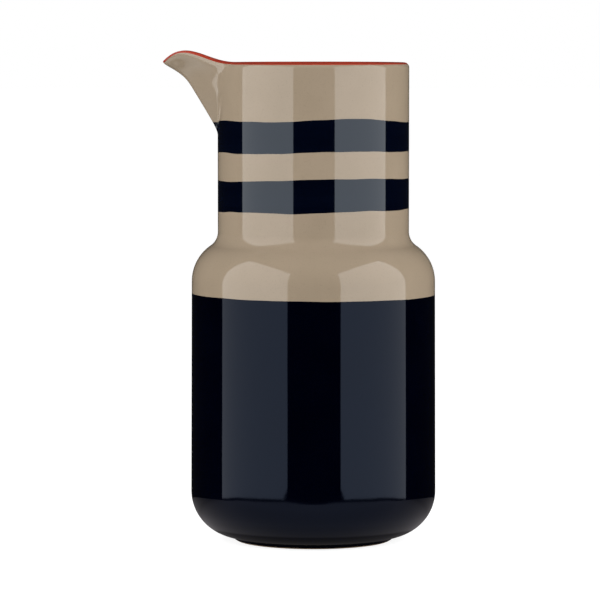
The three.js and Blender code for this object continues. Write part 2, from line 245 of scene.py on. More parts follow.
# Softboxes, each between two upright edges on the floor plan from the pot's axis
SOFTBOX_LOW = -0.143
SOFTBOX_HIGH = 1.05
LEFT_INNER = (-0.57, -1.28)
LEFT_OUTER = (-0.79, 0.04)
LEFT_RADIANCE = 2.15
RIGHT_INNER = (0.59, -1.27)
RIGHT_OUTER = (0.80, 0.06)
RIGHT_RADIANCE = 2.27

# Low glowing cards, placed in the same way, with a run of painted light up their height, which only
# reflections show
SKIRT_INNER = (-0.79, 0.04)
SKIRT_OUTER = (-0.856, 0.436)
SKIRT_LOW = -0.25
SKIRT_HIGH = -0.115
SKIRT_RUN = [(0.0, 0.0), (0.55, 1.0), (1.0, 1.0)]
SKIRT_RADIANCE = 1.6
SWEEP_INNER = (-0.71, -0.42)
SWEEP_OUTER = (-0.834, 0.304)
SWEEP_LOW = -1.1
SWEEP_HIGH = -0.2
SWEEP_RUN = [
    (0.0, 0.1), (0.35, 0.5), (0.55, 0.75), (0.7, 0.5),
    (0.79, 0.29), (0.84, 0.26), (0.93, 0.12), (1.0, 0.1),
]
SWEEP_RADIANCE = 1.4

# Soft fills, each with the way it lies from the pot
FILL_DISTANCE = 1.4
FILL_HEIGHT = 0.14
FILL_SIZE = 0.5
LEFT_FILL_WAY = (-1, 0, 0)
LEFT_FILL_LEVEL = 0.15
RIGHT_FILL_WAY = (0.94, 0.342, 0)
RIGHT_FILL_LEVEL = 0.26
TOP_FILL_WAY = (0, 0, 1)
TOP_FILL_LEVEL = 0.07


class Section:
    """Half of a turned piece's cross-section, drawn from one vertex on the side away from the spout."""

    def __init__(self, name, start):
        bpy.ops.object.select_all(action="DESELECT")
        bpy.ops.mesh.primitive_plane_add(size=PENCIL_POINT)
        self.piece = bpy.context.object
        self.piece.name = name
        self.piece.data.name = name
        bpy.ops.object.mode_set(mode="EDIT")
        bpy.ops.mesh.select_all(action="SELECT")
        bpy.ops.mesh.merge(type="CENTER")
        bpy.ops.transform.translate(value=(start[0] * MM, 0, start[1] * MM))
        self.start = start
        self.pen = start

    def line(self, end, steps=1):
        """Draws straight to a point."""
        stride = [(there - here) * MM / steps for here, there in zip(self.pen, end)]
        bpy.ops.mesh.extrude_repeat(steps=steps, offset=(stride[0], 0, stride[1]))
        self.pen = end

    def arc(self, centre, sweep, steps):
        """Draws round a centre; a positive sweep is anticlockwise with the axis on the left."""
        middle = (centre[0] * MM, 0, centre[1] * MM)
        bpy.ops.mesh.spin(steps=steps, angle=sweep, center=middle, axis=(0, 1, 0))
        out, up = self.pen[0] - centre[0], self.pen[1] - centre[1]
        turned_out = out * math.cos(sweep) - up * math.sin(sweep)
        turned_up = out * math.sin(sweep) + up * math.cos(sweep)
        self.pen = (centre[0] + turned_out, centre[1] + turned_up)

    def bend(self, corner, end, steps):
        """Draws a soft corner, leaving towards one point and arriving at another."""
        start = self.pen
        for step in range(1, steps + 1):
            share = step / steps
            weights = ((1 - share) ** 2, 2 * share * (1 - share), share**2)
            self.line(tuple(np.dot(weights, (start, corner, end))))

    def close(self):
        """Draws back to the start."""
        self.line(self.start)

    def turn(self, columns=COLUMNS):
        """Turns the section round the pot's axis and closes its seam and poles."""
        bpy.ops.object.mode_set(mode="OBJECT")
        screw = self.piece.modifiers.new("turn", "SCREW")
        screw.axis = "Z"
        screw.angle = 2 * math.pi
        screw.steps = columns
        screw.render_steps = columns
        screw.use_merge_vertices = True
        screw.merge_threshold = SEAM
        bpy.ops.object.modifier_apply(modifier=screw.name)
        bpy.ops.object.mode_set(mode="EDIT")
        bpy.ops.mesh.select_all(action="SELECT")
        bpy.ops.transform.translate(value=(AXIS_X, 0, 0))
        bpy.ops.mesh.remove_doubles(threshold=SEAM)
        bpy.ops.mesh.normals_make_consistent(inside=False)
        bpy.ops.object.mode_set(mode="OBJECT")
        return self.piece


# Shaping of turned pieces by hand: brushed edges and the drawn-out beak
def read_points(piece):
    """A piece's vertices in millimetres from the pot's axis."""
    points = np.empty(len(piece.data.vertices) * 3)
    piece.data.vertices.foreach_get("co", points)
    points = points.reshape(-1, 3)
    points[:, 0] -= AXIS_X
    return points / MM


def write_points(piece, points):
    """Puts vertices that read_points gave back into a piece."""
    points = points * MM
    points[:, 0] += AXIS_X
    piece.data.vertices.foreach_set("co", points.ravel())
    piece.data.update()


def bell(swing, spread):
    """1 at the keel, falling softly to 0 at a spread either side of it."""
    return (1 + np.cos(math.pi * np.minimum(swing / spread, 1))) / 2


def brush_edges(piece, *edges):
    """Lets the painted edges of a coat rise and fall as they go round the pot."""
    points = read_points(piece)
    azimuth = np.arctan2(points[:, 1], points[:, 0])
    heights = points[:, 2].copy()
    for edge in edges:
        sway = sum(
            rise * np.cos(count * (azimuth - math.radians(crest)))
            for count, rise, crest in PAINTED_WAVES[edge]
        )
        sway = sway - KEEL_DIP.get(edge, 0) * bell(math.pi - np.abs(azimuth), KEEL_DIP_SPREAD)
        nearness = np.clip(1 - np.abs(heights - edge) / EDGE_ROOM, 0, 1)
        points[:, 2] += sway * nearness
    write_points(piece, points)


def flare(climb):
    """How far the keel opens outwards near the lip, slowly at first."""
    rise = np.clip((climb - FLARE_START) / (FLARE_END - FLARE_START), 0, 1) ** FLARE_DELAY
    return SPOUT_FLARE * rise**2 * (3 - 2 * rise)


def straight_reach(climb):
    """How far the straight keel stands beyond the neck at a share of the spout's height."""

    def hollow(share):
        return np.hypot(share, ROOT_SOFTNESS) - ROOT_SOFTNESS

    return SPOUT_RUN * hollow(climb) / hollow(1.0)


def cheek_reach(swing, reach):
    """How far the cheeks stand beyond the neck, with a rounded keel and a fillet that widens upwards."""
    ahead = np.cos(np.minimum(swing, CHEEK_ANGLE)) * math.cos(CHEEK_ANGLE)
    aside = np.sin(np.minimum(swing, CHEEK_ANGLE)) * math.sin(CHEEK_ANGLE)
    rounding = KEEL_ROUNDING * reach * math.sin(CHEEK_ANGLE)
    plane = (NECK_RADIUS + reach) * math.cos(CHEEK_ANGLE) + rounding
    short = plane**2 - rounding**2
    root = np.hypot(ahead * rounding, aside * np.sqrt(short))
    stand = short / (plane * ahead + root) - NECK_RADIUS
    fillet = np.maximum(CHEEK_FILLET * reach**2 / SPOUT_RUN, SEAM)
    blend = np.clip(1 - np.abs(stand) / fillet, 0, 1)
    return np.maximum(stand, 0) + blend**2 * fillet / 4


def narrow_lip_line(piece):
    """Draws the red line's outer edge up towards the crest along the beak and down again at its tip."""
    points = read_points(piece)
    radius = np.hypot(points[:, 0], points[:, 1])
    swing = np.abs(np.arctan2(points[:, 1], -points[:, 0]))
    out, up = radius - RIM_CENTRE[0], points[:, 2] - RIM_CENTRE[1]
    slope = np.arctan2(up, out)
    edge = RIM_LINE_ANGLE + (LIP_LINE_ANGLE - RIM_LINE_ANGLE) * bell(swing, LIP_LINE_SPREAD)
    edge = edge - TIP_LINE_DROP * bell(swing, TIP_LINE_SPREAD)
    crest = math.pi / 2
    below = slope * edge / RIM_LINE_ANGLE
    above = edge + (slope - RIM_LINE_ANGLE) * (crest - edge) / (crest - RIM_LINE_ANGLE)
    moved = np.where(slope < RIM_LINE_ANGLE, below, above)
    moved = np.where((slope > 0) & (slope < crest), moved, slope)
    reach = np.hypot(out, up)
    drawn = np.where(up > 0, (RIM_CENTRE[0] + reach * np.cos(moved)) / radius, 1)
    points[:, 0] *= drawn
    points[:, 1] *= drawn
    points[:, 2] = np.where(up > 0, RIM_CENTRE[1] + reach * np.sin(moved), points[:, 2])
    write_points(piece, points)


def draw_out_beak(piece):
    """Draws the neck out into the beak, opens and lifts its lip and dips it at the tip."""
    points = read_points(piece)
    radius = np.maximum(np.hypot(points[:, 0], points[:, 1]), SEAM)
    swing = np.abs(np.arctan2(points[:, 1], -points[:, 0]))
    climb = np.clip((points[:, 2] - SPOUT_ROOT) / SPOUT_DROP, 0, 1)
    late = np.maximum(climb - CHEEK_EASE, 0)
    cheeks = straight_reach(climb - late**2 / (2 - 2 * CHEEK_EASE))
    keel = straight_reach(climb) + flare(climb) - cheeks
    reach = cheek_reach(swing, cheeks) + keel * bell(swing, FLARE_SPREAD) ** FLARE_SHARPNESS
    dip = 1 - DIP_DEPTH * np.exp(-((swing / DIP_WIDTH) ** 2))
    drawn = 1 + reach / radius
    points[:, 0] *= drawn
    points[:, 1] *= drawn
    points[:, 2] += LIP_LIFT * bell(swing, LIFT_SPREAD) ** LIFT_SHARPNESS * dip * climb**2
    write_points(piece, points)


def finish_piece(piece, node, material):
    """Smooths a piece, gives it its material and stands it in for its CAD node."""
    bpy.ops.object.select_all(action="DESELECT")
    bpy.context.view_layer.objects.active = piece
    piece.select_set(True)
    bpy.ops.object.shade_smooth_by_angle(angle=SMOOTH_ANGLE)
    piece.data.materials.clear()
    piece.data.materials.append(material)
    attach(piece, "root")
    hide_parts(node)


# Materials
def new_material(name):
    """A material with its node tree and its shader."""
    material = bpy.data.materials.new(name)
    material.use_nodes = True
    return material, material.node_tree, material.node_tree.nodes["Principled BSDF"]


def mottle(tree, scale, detail, stretch=EVEN):
    """Soft noise on the piece's own coordinates, squeezed along x, y and z."""
    place = tree.nodes.new("ShaderNodeTexCoord")
    mapping = tree.nodes.new("ShaderNodeMapping")
    mapping.inputs["Scale"].default_value = stretch
    noise = tree.nodes.new("ShaderNodeTexNoise")
    noise.inputs["Scale"].default_value = scale
    noise.inputs["Detail"].default_value = detail
    tree.links.new(place.outputs["Object"], mapping.inputs["Vector"])
    tree.links.new(mapping.outputs["Vector"], noise.inputs["Vector"])
    return noise.outputs["Fac"]


def tones(tree, factor, *stops):
    """A run of colours, each a place between 0 and 1 and a colour."""
    ramp = tree.nodes.new("ShaderNodeValToRGB")
    elements = ramp.color_ramp.elements
    for place, _ in stops[len(elements):]:
        elements.new(place)
    for element, (place, colour) in zip(elements, stops):
        element.position = place
        element.color = (*colour, 1)
    tree.links.new(factor, ramp.inputs["Fac"])
    return ramp.outputs["Color"]


def lit(run, tint=WHITE):
    """A run of colours from a run of light levels and a tint."""
    return [(place, tuple(level * share for share in tint)) for place, level in run]


def blended(tree, mode, first, second):
    """Two colours laid over each other."""
    mix = tree.nodes.new("ShaderNodeMix")
    mix.data_type = "RGBA"
    mix.blend_type = mode
    mix.inputs["Factor"].default_value = 1
    tree.links.new(first, mix.inputs["A"])
    tree.links.new(second, mix.inputs["B"])
    return mix.outputs["Result"]


def relief(tree, height, depth, over=None):
    """A bump of a depth in metres, over another bump where one is given."""
    bump = tree.nodes.new("ShaderNodeBump")
    bump.inputs["Strength"].default_value = 1
    bump.inputs["Distance"].default_value = depth
    tree.links.new(height, bump.inputs["Height"])
    if over is not None:
        tree.links.new(over, bump.inputs["Normal"])
    return bump.outputs["Normal"]


def spread_between(tree, factor, low, high):
    """A number that goes from one value to another as a factor goes from 0 to 1."""
    span = tree.nodes.new("ShaderNodeMapRange")
    span.inputs["To Min"].default_value = low
    span.inputs["To Max"].default_value = high
    tree.links.new(factor, span.inputs["Value"])
    return span.outputs["Result"]


def share_between(tree, value, low, high):
    """How far a value has come between two others, from 0 to 1."""
    span = tree.nodes.new("ShaderNodeMapRange")
    span.inputs["From Min"].default_value = low
    span.inputs["From Max"].default_value = high
    tree.links.new(value, span.inputs["Value"])
    return span.outputs["Result"]


def glaze(name, shades, index, tint, streaks=EVEN, cloud_scale=CLOUD_SCALE, roughness=FIRED_ROUGHNESS):
    """A fired glaze: cloudy or streaky colour, fine pits and a slow waver in its shine."""
    material, tree, shader = new_material(name)
    clouds = mottle(tree, cloud_scale, CLOUD_DETAIL, streaks)
    colour = tones(tree, clouds, *zip(CLOUD_RANGE, shades))
    flecks = mottle(tree, FLECK_SCALE, FINE_DETAIL)
    fleck_tone = tones(tree, flecks, *zip(FLECK_RANGE, (FLECK_TONE, WHITE)))
    colour = blended(tree, "MULTIPLY", colour, fleck_tone)
    tree.links.new(colour, shader.inputs["Base Color"])
    sheen = spread_between(tree, mottle(tree, ROUGHNESS_SCALE, FINE_DETAIL), *roughness)
    tree.links.new(sheen, shader.inputs["Roughness"])
    waver = relief(tree, mottle(tree, WAVER_SCALE, SMOOTH_DETAIL), WAVER_DEPTH)
    skin = relief(tree, mottle(tree, PIT_SCALE, SMOOTH_DETAIL), PIT_DEPTH, waver)
    tree.links.new(skin, shader.inputs["Normal"])
    shader.inputs["IOR"].default_value = index
    shader.inputs["Specular Tint"].default_value = (*tint, 1)
    return material


def bare_clay():
    """Unglazed stoneware: buff, speckled and finely gritty."""
    material, tree, shader = new_material("bare_clay")
    body = tones(tree, mottle(tree, CLAY_SCALE, ROUGH_DETAIL), *zip(CLAY_RANGE, CLAY_TONES))
    specks = mottle(tree, SPECK_SCALE, FINE_DETAIL)
    speck_tone = tones(tree, specks, *zip(SPECK_RANGE, (SPECK_TONE, WHITE)))
    colour = blended(tree, "MULTIPLY", body, speck_tone)
    tree.links.new(colour, shader.inputs["Base Color"])
    shader.inputs["Roughness"].default_value = CLAY_ROUGHNESS
    grit = relief(tree, mottle(tree, GRIT_SCALE, ROUGH_DETAIL), GRIT_DEPTH)
    tree.links.new(grit, shader.inputs["Normal"])
    return material


sand = glaze("sand_glaze", SAND_TONES, SAND_INDEX, WHITE)
navy_band = glaze("navy_band_glaze", BAND_TONES, BAND_INDEX, BAND_TINT, BRUSHED)
navy_base = glaze("navy_base_glaze", BASE_TONES, BASE_INDEX, BASE_TINT)
red_line = glaze("red_line_glaze", RED_TONES, RED_INDEX, WHITE, BRUSHED, RED_STREAK_SCALE, RED_ROUGHNESS)
clay = bare_clay()


# The clay under the glaze: a turned pot with a notch, and the spout that fills it
def clay_form(name):
    """The whole clay form with its beak, as one closed skin."""
    steps = CLAY_STEPS
    foot_inside = FOOT_RADIUS - FOOT_WIDTH
    foot_outside = FOOT_RADIUS - FOOT_TAPER - CLAY_DEPTH
    foot_top = FOOT_HEIGHT + CLAY_DEPTH
    floor = FOOT_HEIGHT + WALL - CLAY_DEPTH
    inside = WALL - CLAY_DEPTH
    section = Section(name, (0, foot_top))
    section.line((foot_inside, foot_top), steps["floor"])
    section.line((foot_inside, FOOT_ROUNDING))
    section.bend((foot_inside, 0), (foot_inside + FOOT_ROUNDING, 0), steps["foot"])
    section.line((foot_outside - FOOT_ROUNDING, 0))
    section.bend((foot_outside, 0), (foot_outside + FOOT_LEAN, FOOT_ROUNDING), steps["foot"])
    section.line((HEEL_CENTRE[0], foot_top))
    section.arc(HEEL_CENTRE, math.pi / 2, steps["heel"])
    section.line((BELLY_RADIUS - CLAY_DEPTH, BELLY_HEIGHT), steps["belly"])
    section.arc(SHOULDER_CENTRE, SHOULDER_SWEEP, steps["shoulder"])
    section.arc(THROAT_CENTRE, -SHOULDER_SWEEP, steps["throat"])
    section.line((NECK_RADIUS - CLAY_DEPTH, SPOUT_ROOT), steps["neck"])
    section.line((NECK_RADIUS - CLAY_DEPTH, RIM_CENTRE[1]), steps["beak"])
    section.arc(RIM_CENTRE, math.pi, steps["rim"])
    section.line((NECK_RADIUS - inside, SPOUT_ROOT), steps["beak"])
    section.line((NECK_RADIUS - inside, THROAT_CENTRE[1]), steps["neck"])
    section.arc(THROAT_CENTRE, SHOULDER_SWEEP, steps["throat"])
    section.arc(SHOULDER_CENTRE, -SHOULDER_SWEEP, steps["shoulder"])
    section.line((HEEL_CENTRE[0] + HEEL_RADIUS - inside, HEEL_CENTRE[1]), steps["belly"])
    section.arc(HEEL_CENTRE, -math.pi / 2, steps["heel"])
    section.line((0, floor), steps["floor"])
    piece = section.turn(CLAY_COLUMNS)
    draw_out_beak(piece)
    return piece


def spout_notch(gap):
    """A wedge through the neck that the spout fills, smaller by a gap on its sides and bottom."""
    root_half = NECK_RADIUS * math.sin(NOTCH_ROOT_SPREAD)
    rim_half = NECK_RADIUS * math.sin(NOTCH_RIM_SPREAD)
    top = SPOUT_DROP + 2 * LIP_LIFT
    top_half = root_half + (rim_half - root_half) * top / SPOUT_DROP
    depth = NECK_RADIUS + SPOUT_RUN + SPOUT_FLARE + WALL
    bpy.ops.object.select_all(action="DESELECT")
    bpy.ops.mesh.primitive_cube_add(size=2 * MM)
    notch = bpy.context.object
    points = np.array([tuple(vertex.co) for vertex in notch.data.vertices]) / MM
    upper = points[:, 2] > 0
    points[:, 0] = np.where(points[:, 0] > 0, 0, -depth)
    points[:, 1] *= np.where(upper, top_half, root_half) - gap
    points[:, 2] = SPOUT_ROOT + np.where(upper, top, gap)
    write_points(notch, points)
    return notch


def cut(piece, tool, operation):
    """Cuts a piece with a tool, or keeps what both share, and throws the tool away."""
    bpy.ops.object.select_all(action="DESELECT")
    bpy.context.view_layer.objects.active = piece
    piece.select_set(True)
    boolean = piece.modifiers.new("cut", "BOOLEAN")
    boolean.operation = operation
    boolean.solver = "EXACT"
    boolean.object = tool
    bpy.ops.object.modifier_apply(modifier=boolean.name)
    bpy.data.objects.remove(tool)


turned_clay = clay_form("turned_clay")
spout_clay = clay_form("spout_clay")
cut(turned_clay, spout_notch(0), "DIFFERENCE")
cut(spout_clay, spout_notch(JOINT_GAP), "INTERSECT")
finish_piece(turned_clay, "clay_body", clay)
finish_piece(spout_clay, "clay_spout", clay)


# Glaze coats, each drawn up its outside and back down against the clay
def underside_coat():
    """The coat in the recess under the pot."""
    steps = UNDERSIDE_STEPS
    radius = FOOT_RADIUS - FOOT_WIDTH - GLAZE_SEAT
    top = FOOT_HEIGHT + GLAZE
    soft = GLAZE / 2
    section = Section("underside_coat", (0, FOOT_HEIGHT))
    section.line((radius - soft, FOOT_HEIGHT), steps["floor"])
    section.bend((radius, FOOT_HEIGHT), (radius, FOOT_HEIGHT + soft), steps["edge"])
    section.line((radius, top))
    section.line((0, top), steps["floor"])
    return section.turn()


def wall_radius(height):
    """Radius of the straight belly at a height."""
    rise = (height - HEEL_CENTRE[1]) / (BELLY_HEIGHT - HEEL_CENTRE[1])
    return BELLY_RADIUS + BELLY_SPREAD * (1 - rise)


def base_coat():
    """The dipped coat from the foot to below the shoulder."""
    steps = BASE_STEPS
    foot_line = FOOT_RADIUS - FOOT_TAPER
    heel_start = math.acos((FOOT_RADIUS + FOOT_FILLET - HEEL_CENTRE[0]) / HEEL_RADIUS)
    heel_low = (
        FOOT_RADIUS + FOOT_FILLET,
        HEEL_CENTRE[1] - HEEL_RADIUS * math.sin(heel_start),
    )
    section = Section("navy_base_coat", (foot_line, FOOT_BARE))
    section.line((FOOT_RADIUS - FOOT_TAPER / 2, heel_low[1] - FOOT_FILLET), steps["foot"])
    section.bend((FOOT_RADIUS, heel_low[1]), heel_low, steps["fillet"])
    section.arc(HEEL_CENTRE, heel_start, steps["heel"])
    section.line((wall_radius(BASE_LINE), BASE_LINE), steps["belly"])
    section.line((wall_radius(BASE_LINE) - GLAZE, BASE_LINE))
    section.line((BELLY_RADIUS + BELLY_SPREAD - GLAZE, HEEL_CENTRE[1]), steps["belly"])
    section.arc(HEEL_CENTRE, -heel_start, steps["heel"])
    section.line((FOOT_RADIUS - GLAZE, section.pen[1]))
    section.line((foot_line - GLAZE, FOOT_BARE), steps["foot"])
    section.close()
    piece = section.turn()
    brush_edges(piece, BASE_LINE)
    return piece


def shoulder_coat():
    """The coat over the shoulder, the throat and the foot of the neck."""
    steps = SHOULDER_STEPS
    section = Section("sand_shoulder_coat", (wall_radius(BASE_LINE), BASE_LINE))
    section.line((BELLY_RADIUS, BELLY_HEIGHT), steps["belly"])
    section.arc(SHOULDER_CENTRE, SHOULDER_SWEEP, steps["shoulder"])
    section.arc(THROAT_CENTRE, -SHOULDER_SWEEP, steps["throat"])
    section.line((NECK_RADIUS, LOWER_BOTTOM), steps["neck"])
    section.line((NECK_RADIUS - GLAZE, LOWER_BOTTOM))
    section.line((NECK_RADIUS - GLAZE, THROAT_CENTRE[1]), steps["neck"])
    section.arc(THROAT_CENTRE, SHOULDER_SWEEP, steps["throat"])
    section.arc(SHOULDER_CENTRE, -SHOULDER_SWEEP, steps["shoulder"])
    section.line((wall_radius(BASE_LINE) - GLAZE, BASE_LINE), steps["belly"])
    section.close()
    piece = section.turn()
    brush_edges(piece, BASE_LINE, LOWER_BOTTOM)
    return piece


def neck_coat(name, low, high, steps):
    """A coat round the straight of the neck, between two painted edges."""
    section = Section(name, (NECK_RADIUS, low))
    section.line((NECK_RADIUS, high), steps)
    section.line((NECK_RADIUS - GLAZE, high))
    section.line((NECK_RADIUS - GLAZE, low), steps)
    section.close()
    piece = section.turn()
    brush_edges(piece, low, high)
    draw_out_beak(piece)
    return piece


def upper_neck_coat():
    """The coat from the upper stripe to the red line, beak included."""
    steps = UPPER_NECK_STEPS
    section = Section("sand_neck_coat", (NECK_RADIUS, UPPER_TOP))
    section.line((NECK_RADIUS, RIM_CENTRE[1]), steps["beak"])
    section.arc(RIM_CENTRE, RIM_LINE_ANGLE, steps["rim"])
    ridge = (math.cos(RIM_LINE_ANGLE), math.sin(RIM_LINE_ANGLE))
    section.line(tuple(section.pen[axis] - GLAZE * ridge[axis] for axis in (0, 1)))
    section.arc(RIM_CENTRE, -RIM_LINE_ANGLE, steps["rim"])
    section.line((NECK_RADIUS - GLAZE, UPPER_TOP), steps["beak"])
    section.close()
    piece = section.turn(BEAK_COLUMNS)
    brush_edges(piece, UPPER_TOP)
    narrow_lip_line(piece)
    draw_out_beak(piece)
    return piece


def rim_stroke():
    """The red line over the rim and the lip of the beak."""
    crest = math.pi - 2 * RIM_LINE_ANGLE
    outward = (math.cos(RIM_LINE_ANGLE), math.sin(RIM_LINE_ANGLE))
    start = tuple(RIM_CENTRE[axis] + WALL / 2 * outward[axis] for axis in (0, 1))
    section = Section("red_rim_stroke", start)
    section.arc(RIM_CENTRE, crest, RIM_STROKE_STEPS)
    inward = (-outward[0], outward[1])
    section.line(tuple(section.pen[axis] - GLAZE * inward[axis] for axis in (0, 1)))
    section.arc(RIM_CENTRE, -crest, RIM_STROKE_STEPS)
    section.close()
    piece = section.turn(BEAK_COLUMNS)
    narrow_lip_line(piece)
    draw_out_beak(piece)
    return piece


def inside_coat():
    """The coat of the whole inside, up to the red line."""
    steps = INSIDE_STEPS
    floor = FOOT_HEIGHT + WALL
    low_radius = HEEL_CENTRE[0] + HEEL_RADIUS - WALL
    inward = (-math.cos(RIM_LINE_ANGLE), math.sin(RIM_LINE_ANGLE))
    section = Section("inside_coat", (0, floor))
    section.line((HEEL_CENTRE[0], floor), steps["floor"])
    section.arc(HEEL_CENTRE, math.pi / 2, steps["heel"])
    section.line((BELLY_RADIUS - WALL, BELLY_HEIGHT), steps["belly"])
    section.arc(SHOULDER_CENTRE, SHOULDER_SWEEP, steps["shoulder"])
    section.arc(THROAT_CENTRE, -SHOULDER_SWEEP, steps["throat"])
    section.line((NECK_RADIUS - WALL, SPOUT_ROOT), steps["neck"])
    section.line((NECK_RADIUS - WALL, RIM_CENTRE[1]), steps["beak"])
    section.arc(RIM_CENTRE, -RIM_LINE_ANGLE, steps["rim"])
    section.line(tuple(section.pen[axis] - GLAZE * inward[axis] for axis in (0, 1)))
    section.arc(RIM_CENTRE, RIM_LINE_ANGLE, steps["rim"])
    section.line((NECK_RADIUS - WALL + GLAZE, SPOUT_ROOT), steps["beak"])
    section.line((NECK_RADIUS - WALL + GLAZE, THROAT_CENTRE[1]), steps["neck"])
    section.arc(THROAT_CENTRE, SHOULDER_SWEEP, steps["throat"])
    section.arc(SHOULDER_CENTRE, -SHOULDER_SWEEP, steps["shoulder"])
    section.line((low_radius + GLAZE, HEEL_CENTRE[1]), steps["belly"])
    section.arc(HEEL_CENTRE, -math.pi / 2, steps["heel"])
    section.line((0, floor - GLAZE), steps["floor"])
    piece = section.turn()
    draw_out_beak(piece)
    return piece


finish_piece(underside_coat(), "underside_glaze", navy_base)
finish_piece(base_coat(), "navy_base_glaze", navy_base)
finish_piece(shoulder_coat(), "sand_shoulder_glaze", sand)
lower_stripe = neck_coat("lower_navy_stripe", LOWER_BOTTOM, LOWER_TOP, STRIPE_STEPS)
middle_coat = neck_coat("sand_middle_coat", LOWER_TOP, UPPER_BOTTOM, STRIPE_STEPS)
upper_stripe = neck_coat("upper_navy_stripe", UPPER_BOTTOM, UPPER_TOP, BEAK_STRIPE_STEPS)
finish_piece(lower_stripe, "lower_navy_band", navy_band)
finish_piece(middle_coat, "sand_middle_glaze", sand)
finish_piece(upper_stripe, "upper_navy_band", navy_band)
finish_piece(upper_neck_coat(), "sand_neck_glaze", sand)
finish_piece(rim_stroke(), "red_rim_line", red_line)
finish_piece(inside_coat(), "inside_glaze", sand)

# Camera a little above the rim, looking slightly down
lens = bpy.data.cameras.new("camera")
lens.lens = CAMERA_LENS
lens.sensor_width = CAMERA_SENSOR
camera = bpy.data.objects.new("camera", lens)
camera.location = (AXIS_X + CAMERA_ASIDE, -CAMERA_DISTANCE, CAMERA_HEIGHT)
camera.rotation_euler = (math.pi / 2 - CAMERA_PITCH, 0, 0)
bpy.context.scene.collection.objects.link(camera)
bpy.context.scene.camera = camera
bpy.context.scene.view_settings.view_transform = "Standard"


# Studio: white floor and background, two tall softboxes, and cards and flags that only reflections see
def seen_directly(tree):
    """1 for what the camera, a reflection or a view through glass sees, 0 for bounced light."""
    path = tree.nodes.new("ShaderNodeLightPath")
    total = path.outputs["Is Camera Ray"]
    for ray in ("Is Glossy Ray", "Is Transmission Ray"):
        either = tree.nodes.new("ShaderNodeMath")
        either.operation = "MAXIMUM"
        tree.links.new(total, either.inputs[0])
        tree.links.new(path.outputs[ray], either.inputs[1])
        total = either.outputs[0]
    return total


def light_studio_world():
    """White to the eye, and a soft even light on the pot."""
    world = bpy.data.worlds.new("studio")
    world.use_nodes = True
    tree = world.node_tree
    strength = spread_between(tree, seen_directly(tree), AMBIENT, 1)
    tree.nodes["Background"].inputs["Color"].default_value = (*WHITE, 1)
    tree.links.new(strength, tree.nodes["Background"].inputs["Strength"])
    bpy.context.scene.world = world


def empty_material(name):
    """A material with nothing in its node tree."""
    material = bpy.data.materials.new(name)
    material.use_nodes = True
    material.node_tree.nodes.clear()
    return material, material.node_tree


def floor_material():
    """Pale paper that keeps the pot's shadow and looks white."""
    material, tree = empty_material("pale_floor")
    glow = tree.nodes.new("ShaderNodeEmission")
    whiteness = spread_between(tree, seen_directly(tree), 0, FLOOR_GLOW)
    tree.links.new(whiteness, glow.inputs["Strength"])
    paper = tree.nodes.new("ShaderNodeBsdfDiffuse")
    paper.inputs["Color"].default_value = (FLOOR_TONE, FLOOR_TONE, FLOOR_TONE, 1)
    both = tree.nodes.new("ShaderNodeAddShader")
    output = tree.nodes.new("ShaderNodeOutputMaterial")
    tree.links.new(glow.outputs[0], both.inputs[0])
    tree.links.new(paper.outputs[0], both.inputs[1])
    tree.links.new(both.outputs[0], output.inputs["Surface"])
    return material


def painted_table_light():
    """Painted light on the table, a glow from no lamp: a painted shadow darkest round the foot, weaker to
    the sides, and the light fading towards the back.
    """
    material, tree = empty_material("painted_table_light")
    place = tree.nodes.new("ShaderNodeTexCoord")
    about_axis = tree.nodes.new("ShaderNodeMapping")
    about_axis.inputs["Location"].default_value = (-AXIS_X, 0, 0)
    tree.links.new(place.outputs["Object"], about_axis.inputs["Vector"])
    distance = tree.nodes.new("ShaderNodeVectorMath")
    distance.operation = "LENGTH"
    tree.links.new(about_axis.outputs["Vector"], distance.inputs[0])
    parts = tree.nodes.new("ShaderNodeSeparateXYZ")
    tree.links.new(about_axis.outputs["Vector"], parts.inputs["Vector"])
    aside = tree.nodes.new("ShaderNodeMath")
    aside.operation = "ABSOLUTE"
    tree.links.new(parts.outputs["X"], aside.inputs[0])
    away = share_between(tree, distance.outputs["Value"], *SHADE_REACH)
    sideways = share_between(tree, aside.outputs[0], *SIDES_REACH)
    backwards = share_between(tree, parts.outputs["Y"], *FADE_REACH)
    # painted shadow round the foot, lightened to the sides, times painted light fading towards the back
    shade = tones(tree, away, *lit(SHADE_RUN))
    sides = tones(tree, sideways, *lit(SIDES_RUN))
    fade = tones(tree, backwards, *lit(FADE_RUN, TABLE_TINT))
    colour = blended(tree, "MULTIPLY", blended(tree, "LIGHTEN", shade, sides), fade)
    glow = tree.nodes.new("ShaderNodeEmission")
    glow.inputs["Strength"].default_value = TABLE_GLOW
    tree.links.new(colour, glow.inputs["Color"])
    output = tree.nodes.new("ShaderNodeOutputMaterial")
    tree.links.new(glow.outputs[0], output.inputs["Surface"])
    return material


def black_cloth():
    """Dark cloth with a faint painted glow standing for a trace of stray light on it."""
    material, _, shader = new_material("dark_reflection_cloth")
    shader.inputs["Base Color"].default_value = (*BLACK, 1)
    shader.inputs["Roughness"].default_value = 1
    shader.inputs["Specular IOR Level"].default_value = 0
    shader.inputs["Emission Color"].default_value = (*WHITE, 1)
    shader.inputs["Emission Strength"].default_value = FLAG_GLOW
    return material


dark_reflection_cloth = black_cloth()


def only_in_reflections(prop):
    """Hides a studio piece from everything but reflections."""
    prop.visible_camera = False
    prop.visible_diffuse = False
    prop.visible_transmission = False
    prop.visible_shadow = False


def lay_floor():
    """A white floor that reflections don't show."""
    bpy.ops.object.select_all(action="DESELECT")
    bpy.ops.mesh.primitive_circle_add(vertices=FLOOR_SIDES, radius=FLOOR_RADIUS, fill_type="NGON")
    floor = bpy.context.object
    floor.name = "floor"
    floor.visible_glossy = False
    floor.data.materials.append(floor_material())


